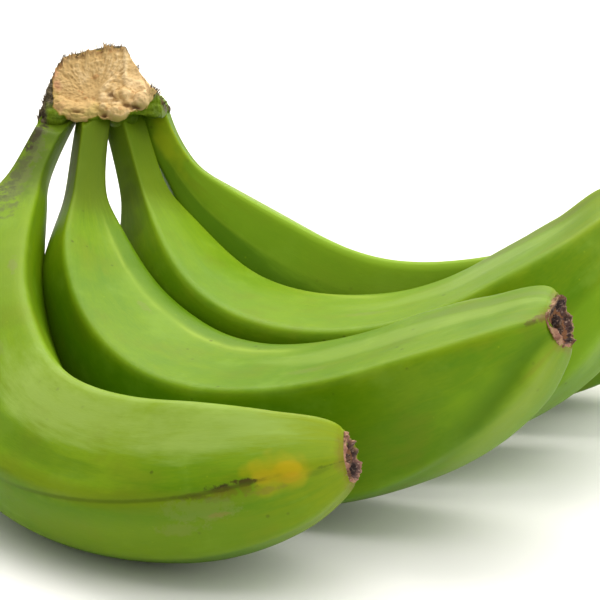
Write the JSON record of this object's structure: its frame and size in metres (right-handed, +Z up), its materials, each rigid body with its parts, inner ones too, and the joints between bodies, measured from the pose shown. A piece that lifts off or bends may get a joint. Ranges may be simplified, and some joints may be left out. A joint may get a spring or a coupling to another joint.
{
  "type": "green banana hand",
  "caption": "A hand of unripe green bananas joined at one cut crown, lying on their bellies with the tips turned up.",
  "frame": {"origin": "on the surface that the hand lies on, under the middle of its bounding box", "axes": "+Z up, +X along the row of tips from the front finger to the back one, +Y away from the front finger, towards the crown"},
  "size_m": [0.2088, 0.1703, 0.0935],
  "materials": {
    "green_peel": "waxy satin",
    "cut_crown": "dry fibrous cut"
  },
  "bodies": {
    "root": {"crown": "cut_crown", "banana_front": "green_peel", "banana_second": "green_peel", "banana_third": "green_peel", "banana_back": "green_peel"}
  },
  "joints": []
}
